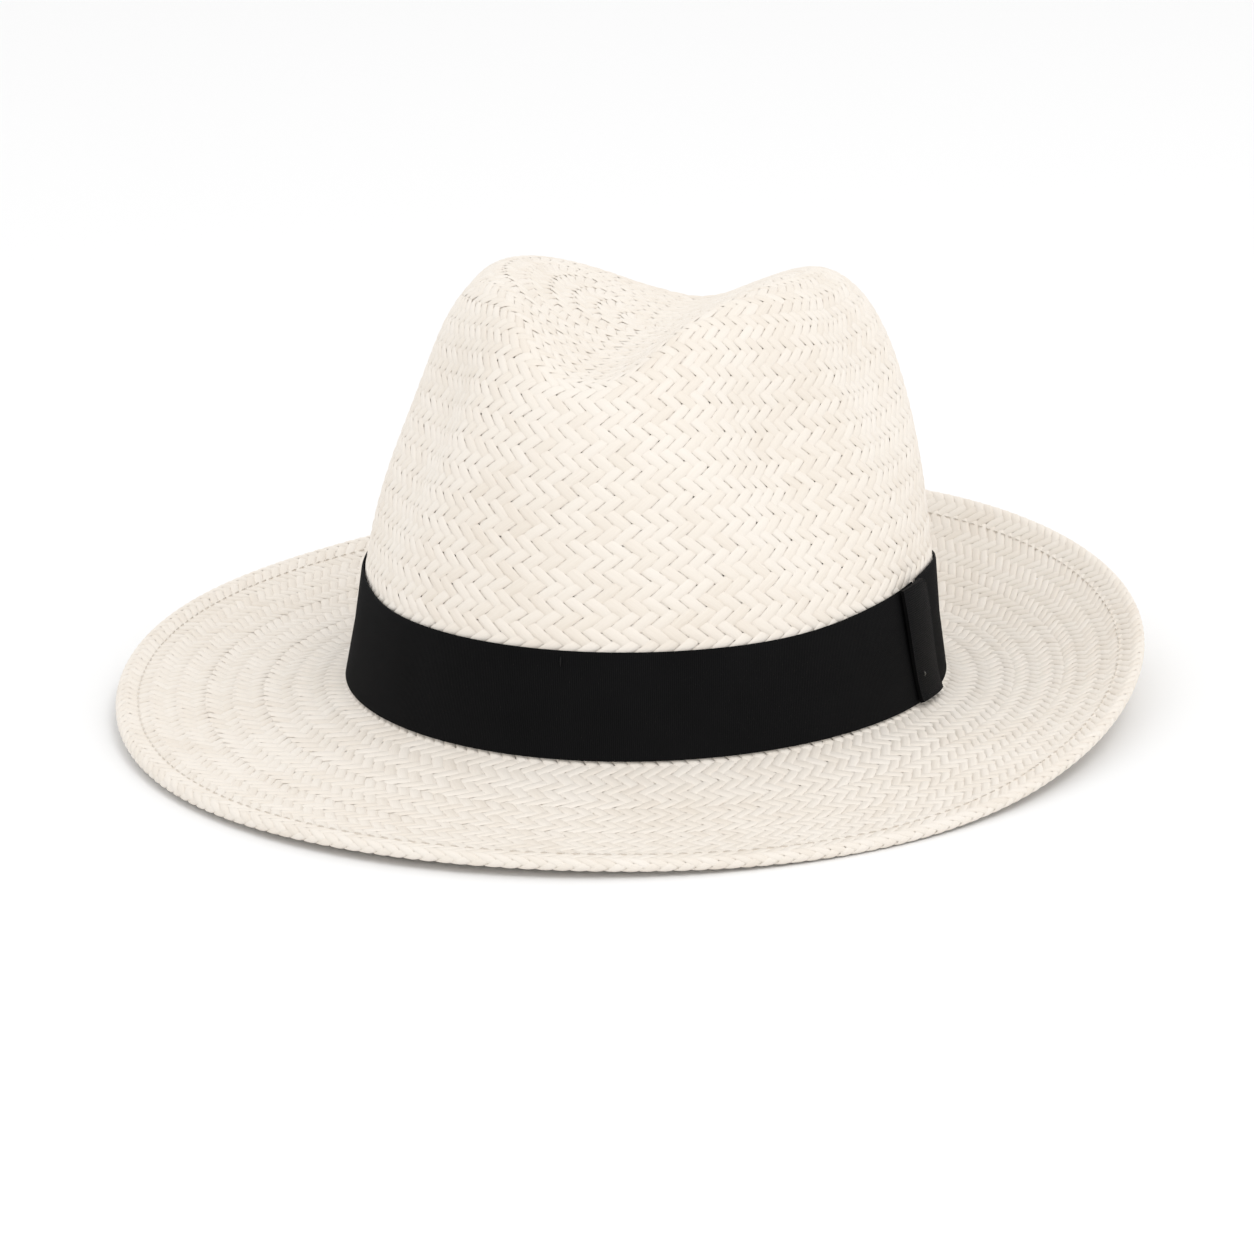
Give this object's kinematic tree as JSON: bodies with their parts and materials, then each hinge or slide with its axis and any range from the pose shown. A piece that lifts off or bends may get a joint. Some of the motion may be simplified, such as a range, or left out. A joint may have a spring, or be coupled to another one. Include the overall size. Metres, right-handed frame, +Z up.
{
  "type": "panama hat",
  "caption": "Woven paper-straw hat with a creased and pinched crown, snap brim with a rolled wired edge, black grosgrain hatband with keeper, and sweatband.",
  "frame": {"origin": "middle of the bounding box at its foot, on the surface that the hat stands on, under the head opening", "axes": "+Z up, the front of the hat towards -Y, the wearer's left (the keeper's side) towards +X"},
  "size_m": [0.307, 0.348, 0.1278],
  "materials": {
    "straw": "woven bleached paper straw, ivory, faint sheen",
    "ribbon": "black ribbed grosgrain, soft sheen",
    "sweatband": "matt cotton twill, cream",
    "wire": "drawn spring wire",
    "reed": "translucent nylon",
    "thread": "cream cotton thread",
    "black_thread": "black polyester thread",
    "label": "plain woven satin, blank"
  },
  "bodies": {
    "root": {"straw_body": "straw", "brim_wire": "wire", "hem_stitching": "thread", "hatband": "ribbon", "hatband_keeper": "ribbon", "hatband_tack_front": "black_thread", "hatband_tack_right": "black_thread", "hatband_tack_back": "black_thread", "keeper_tack": "black_thread", "sweatband": "sweatband", "sweatband_reed": "reed", "sweatband_stitching": "thread", "sweatband_back_tape": "sweatband", "size_label": "label"}
  },
  "joints": []
}
